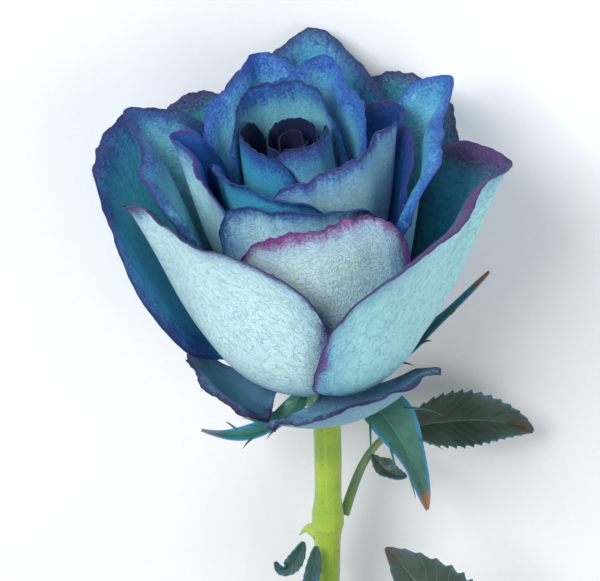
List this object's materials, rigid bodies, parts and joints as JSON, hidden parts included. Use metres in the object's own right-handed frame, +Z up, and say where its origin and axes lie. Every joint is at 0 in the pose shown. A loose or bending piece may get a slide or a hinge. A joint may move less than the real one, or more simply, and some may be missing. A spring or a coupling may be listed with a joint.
{
  "type": "cut rose",
  "caption": "Cut rose lying on its back, blue-dyed petals with purple rims, green stem with leaves.",
  "frame": {"origin": "centre of the bounding box's bottom face, on the surface the flower lies on", "axes": "+Y from the cut stem end towards the flower head, +Z up, +X to the flower's right"},
  "size_m": [0.088, 0.212, 0.0625],
  "materials": {
    "outer_petal": "matte",
    "guard_petal": "matte",
    "inner_petal": "matte",
    "heart_petal": "matte",
    "stamens": "matte",
    "sepal": "matte",
    "stipule": "matte",
    "leaf": "satin",
    "leaf_stalk": "satin",
    "hip": "satin",
    "stem": "satin"
  },
  "bodies": {
    "root": {"hip": "hip", "leaf_lower_end": "leaf", "leaf_lower_left": "leaf", "leaf_lower_right": "leaf", "leaf_lower_stalk": "leaf_stalk", "leaf_upper_end": "leaf", "leaf_upper_side": "leaf", "leaf_upper_stalk": "leaf_stalk", "petal_back_inner": "inner_petal", "petal_back_left_tall": "inner_petal", "petal_back_tall": "inner_petal", "petal_core_a": "heart_petal", "petal_core_b": "heart_petal", "petal_core_c": "heart_petal", "petal_core_d": "heart_petal", "petal_front_band": "inner_petal", "petal_front_left_inner": "inner_petal", "petal_front_mid": "outer_petal", "petal_front_right_inner": "inner_petal", "petal_guard_front": "guard_petal", "petal_guard_left": "guard_petal", "petal_heart_back": "heart_petal", "petal_heart_left": "heart_petal", "petal_heart_right": "heart_petal", "petal_left_inner": "inner_petal", "petal_left_tall": "inner_petal", "petal_outer_back": "outer_petal", "petal_outer_back_left": "outer_petal", "petal_outer_back_mid": "outer_petal", "petal_outer_left": "outer_petal", "petal_outer_right": "outer_petal", "petal_right_small": "inner_petal", "petal_right_tall": "inner_petal", "sepal_back": "sepal", "sepal_front": "sepal", "sepal_front_left": "sepal", "sepal_left": "sepal", "sepal_right": "sepal", "stamens": "stamens", "stem": "stem", "stipule_front": "stipule", "stipule_left": "stipule"}
  },
  "joints": []
}
